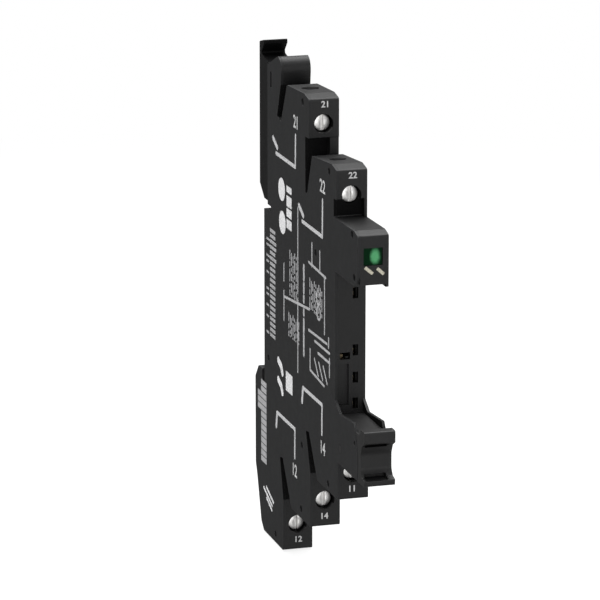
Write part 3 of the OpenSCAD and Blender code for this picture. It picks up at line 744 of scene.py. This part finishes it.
def printScale():
    mesh = bmesh.new()
    look = scaleLook
    step = (look["top"] - look["bottom"]) / look["rows"]
    for k in range(look["rows"] + 1):
        z = look["top"] - k * step
        reach = look["longer"] if k in look["longRows"] else 0.0
        columns = [look["wide"]] if k in look["bareRows"] else [look["wide"], look["narrow"]]
        for rear, front, share in columns:
            inkStroke(mesh, (rear, z), (front - reach, z), step * share)
    return makePiece("scale_print", mesh, padPrint("scaleInk"), "base")


footBar = {"rear": 2.5, "front": -1.5, "top": -19.7, "bottom": -37.4, "rows": 13, "gap": 0.22,
           "wideRows": (2, 3, 4), "wideRear": 4.9}


def printFootBar():  # a block of close rows on the foot
    mesh = bmesh.new()
    look = footBar
    step = (look["top"] - look["bottom"]) / look["rows"]
    for k in range(look["rows"]):
        z = look["top"] - (k + 0.5) * step
        rear = look["wideRear"] if k in look["wideRows"] else look["rear"]
        inkStroke(mesh, (rear, z), (look["front"], z), step - look["gap"])
    return makePiece("foot_print", mesh, padPrint("footInk"), "base")


# Plain numerals: on the fronts by each screw (its number, then how far aside and above), and
# on the cover where the leads end
numeralLook = {
    "height": 0.012, "spread": 0.035, "frontSize": 1.75, "frontInset": 1.4, "coverSize": 3.6,
    "fronts": [("21", 1, 0.3, 3.85), ("22", 2, 0.2, 3.85), ("11", 3, -0.2, -3.3),
               ("14", 4, -0.2, -3.3), ("12", 5, 0.05, -3.3)],
    "cover": [("21", (-23.0, 39.2)), ("22", (-41.3, 30.2)), ("14", (-41.6, -22.4)),
              ("12", (-22.0, -32.6))],
}
frontTurn = Matrix.Rotation(math.pi / 2, 4, "X")
coverTurn = Matrix(((0, 0, -1, 0), (-1, 0, 0, 0), (0, 1, 0, 0), (0, 0, 0, 1)))
numeralInk = padPrint("numeralInk")


def printNumeral(name, text, size, turn, at):  # at is the middle of the numeral on its surface
    curve = bpy.data.curves.new("numeral", "FONT")
    curve.body = text
    curve.size = size * mm
    curve.align_x = "CENTER"
    curve.align_y = "CENTER"
    curve.extrude = numeralLook["height"] * mm / 2
    curve.offset = numeralLook["spread"] * mm * size / numeralLook["frontSize"]
    written = bpy.data.objects.new("numeral", curve)
    scene.collection.objects.link(written)
    bpy.context.view_layer.update()
    made = written.evaluated_get(bpy.context.evaluated_depsgraph_get())
    flat = bpy.data.meshes.new_from_object(made)
    bpy.data.objects.remove(written)
    mesh = bmesh.new()
    mesh.from_mesh(flat)
    out = turn @ Vector((0, 0, numeralLook["height"] * mm / 2))
    bmesh.ops.transform(mesh, matrix=Matrix.Translation(at + out) @ turn, verts=mesh.verts)
    bmesh.ops.remove_doubles(mesh, verts=mesh.verts, dist=weld)
    return makePiece(name, mesh, numeralInk, "base")


def printNumerals():
    for text, number, aside, rise in numeralLook["fronts"]:
        low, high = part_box(f"terminal_screw_{number}")
        at = Vector((aside * mm, low.y - numeralLook["frontInset"] * mm,
                     (low.z + high.z) / 2 + rise * mm))
        printNumeral(f"front_numeral_{number}", text, numeralLook["frontSize"], frontTurn, at)
    for text, (y, z) in numeralLook["cover"]:
        at = Vector((coverFace, y * mm, z * mm))
        printNumeral("cover_numeral_" + text, text, numeralLook["coverSize"], coverTurn, at)


# Two buff strokes on the housing's face, below the indicator window: [x, z] ends
windowLook = {"strokes": [((-1.5, 19.4), (-0.2, 18.3)), ((0.9, 19.1), (2.0, 18.1))],
              "width": 0.62, "height": 0.02, "inset": 0.25}


def printWindow():
    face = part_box("indicator_window")[0].y - windowLook["inset"] * mm
    height, width = windowLook["height"] * mm, windowLook["width"] * mm
    mesh = bmesh.new()
    for ends in windowLook["strokes"]:
        start, end = [Vector(point) * mm for point in ends]
        way, middle = end - start, (start + end) / 2
        place = Matrix.Translation((middle.x, face - height / 2, middle.y))
        turn = Matrix.Rotation(-math.atan2(way.y, way.x), 4, "Y")
        size = Matrix.Diagonal((way.length + width / 2, height, width, 1))
        bmesh.ops.create_cube(mesh, size=1, matrix=place @ turn @ size)
    return makePiece("window_print", mesh, padPrint("buffInk"), "base")


def makeSpring():  # a copy of the spring that rides on no body, with its placement baked into the mesh
    mesh = bmesh.new()
    mesh.from_mesh(nodes["latch_spring"].data)
    slot = slotOf["latch_spring"]
    coil = makePiece("latch_spring_coil", mesh, finishes[slot], None,
                     edgeLook["smoothUnder"])
    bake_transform(coil)
    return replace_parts(coil, "latch_spring")


for name in ("housing", "side_cover", "rail_latch", "retaining_clip"):
    softenMoulding(name)
makeSpring()
print("mouldings softened")
for number in range(1, 6):
    makeScrew(number)
print("screws turned")
printLeads()
printDiagram()
printMarks()
printScale()
printFootBar()
printNumerals()
printWindow()
print("print laid on")

# Pale floor, whose own shade gives way to white from this distance to that
stageLook = {"floorHalf": 3.0, "floorTone": 0.82, "mottle": 60, "mottled": 0.98, "below": 0.2,
             "showThrough": 0.80, "whiteFrom": (0.12, 0.40)}


def makeFloor():
    graph = newGraph("paleFloor")
    where = graph.place()
    pale = graph.mix(graph.noise(where, stageLook["mottle"], 2),
                     tone(stageLook["floorTone"] * stageLook["mottled"]),
                     tone(stageLook["floorTone"]))
    matt = graph.add("ShaderNodeBsdfDiffuse", {}, {"Color": pale})
    white = graph.add("ShaderNodeEmission", {}, {"Color": tone(1), "Strength": 1.0})
    away = graph.add("ShaderNodeVectorMath", {"operation": "LENGTH"}, [where], output="Value")
    share = graph.between(away, *stageLook["whiteFrom"], stageLook["showThrough"], 1.0)
    seen = graph.add("ShaderNodeLightPath", output="Is Camera Ray") * share
    lit = graph.add("ShaderNodeMixShader", {}, [seen, matt, white])
    clear = graph.add("ShaderNodeBsdfTransparent")
    under = graph.add("ShaderNodeNewGeometry", output="Backfacing")
    material = graph.finish(graph.add("ShaderNodeMixShader", {}, [under, lit, clear]))
    mesh = bmesh.new()
    bmesh.ops.create_grid(mesh, x_segments=1, y_segments=1, size=stageLook["floorHalf"],
                          matrix=Matrix.Translation((0, 0, cadBox[0].z - stageLook["below"] * mm)))
    data = bpy.data.meshes.new("floor")
    mesh.to_mesh(data)
    mesh.free()
    data.materials.append(material)
    floor = bpy.data.objects.new("floor", data)
    scene.collection.objects.link(floor)
    floor.visible_glossy = False  # reflections show the room's white, not the shadow


roomLook = {"diffuse": 0.45, "frontGloss": 0.75, "rearGloss": 0.30, "turnsAt": (0.2, 0.75)}


def lightWorld():  # a white room, whose end behind the object is dim in reflections
    world = bpy.data.worlds.new("paleRoom")
    scene.world = world
    graph = Graph(world)
    look = roomLook
    way = graph.add("ShaderNodeTexCoord", output="Generated")
    rearward = graph.add("ShaderNodeSeparateXYZ", {}, [way], output="Y")
    gloss = graph.between(rearward, *look["turnsAt"], look["frontGloss"], look["rearGloss"])
    glossy = graph.add("ShaderNodeLightPath", output="Is Glossy Ray")
    seen = graph.add("ShaderNodeLightPath", output="Is Camera Ray")
    through = graph.add("ShaderNodeLightPath", output="Is Transmission Ray")
    direct = graph.add("ShaderNodeMath", {"operation": "MAXIMUM"}, [seen, through])
    level = direct + (1 - direct) * (glossy * gloss + (1 - glossy) * look["diffuse"])
    graph.finish(graph.add("ShaderNodeBackground", {}, {"Color": tone(1), "Strength": level}),
                 "ShaderNodeOutputWorld")


lamps = [
    {"name": "overhead", "at": (0.05, 0.15, 0.75), "size": (0.9, 0.9), "power": 19.0},
    {"name": "front", "at": (-0.15, -0.95, 0.05), "size": (0.7, 0.7), "power": 6.0},
    {"name": "side", "at": (-0.9, -0.25, 0.25), "size": (0.7, 0.9), "power": 3.2},
]


def hangLamps():
    aim = (cadBox[0] + cadBox[1]) / 2
    for lamp in lamps:
        light = bpy.data.lights.new(lamp["name"], "AREA")
        light.shape = "RECTANGLE"
        light.size, light.size_y = lamp["size"]
        light.energy = lamp["power"]
        holder = bpy.data.objects.new(lamp["name"], light)
        scene.collection.objects.link(holder)
        place = Vector(lamp["at"])
        holder.matrix_world = (Matrix.Translation(place)
                               @ (aim - place).to_track_quat("-Z", "Y").to_matrix().to_4x4())


cameraLook = {"at": (-0.2223, -0.7702, 0.2021), "azimuth": 16.41, "elevation": 14.33,
              "lens": 242.0, "sensor": 36, "near": 0.05}


def setCamera():
    data = bpy.data.cameras.new("camera")
    data.lens = cameraLook["lens"]
    data.sensor_width = cameraLook["sensor"]
    data.clip_start = cameraLook["near"]
    camera = bpy.data.objects.new("camera", data)
    scene.collection.objects.link(camera)
    turn = (Matrix.Rotation(-math.radians(cameraLook["azimuth"]), 4, "Z")
            @ Matrix.Rotation(math.pi / 2 - math.radians(cameraLook["elevation"]), 4, "X"))
    camera.matrix_world = Matrix.Translation(cameraLook["at"]) @ turn
    scene.camera = camera


makeFloor()
lightWorld()
hangLamps()
setCamera()
scene.view_settings.view_transform = "Standard"
print("room ready")
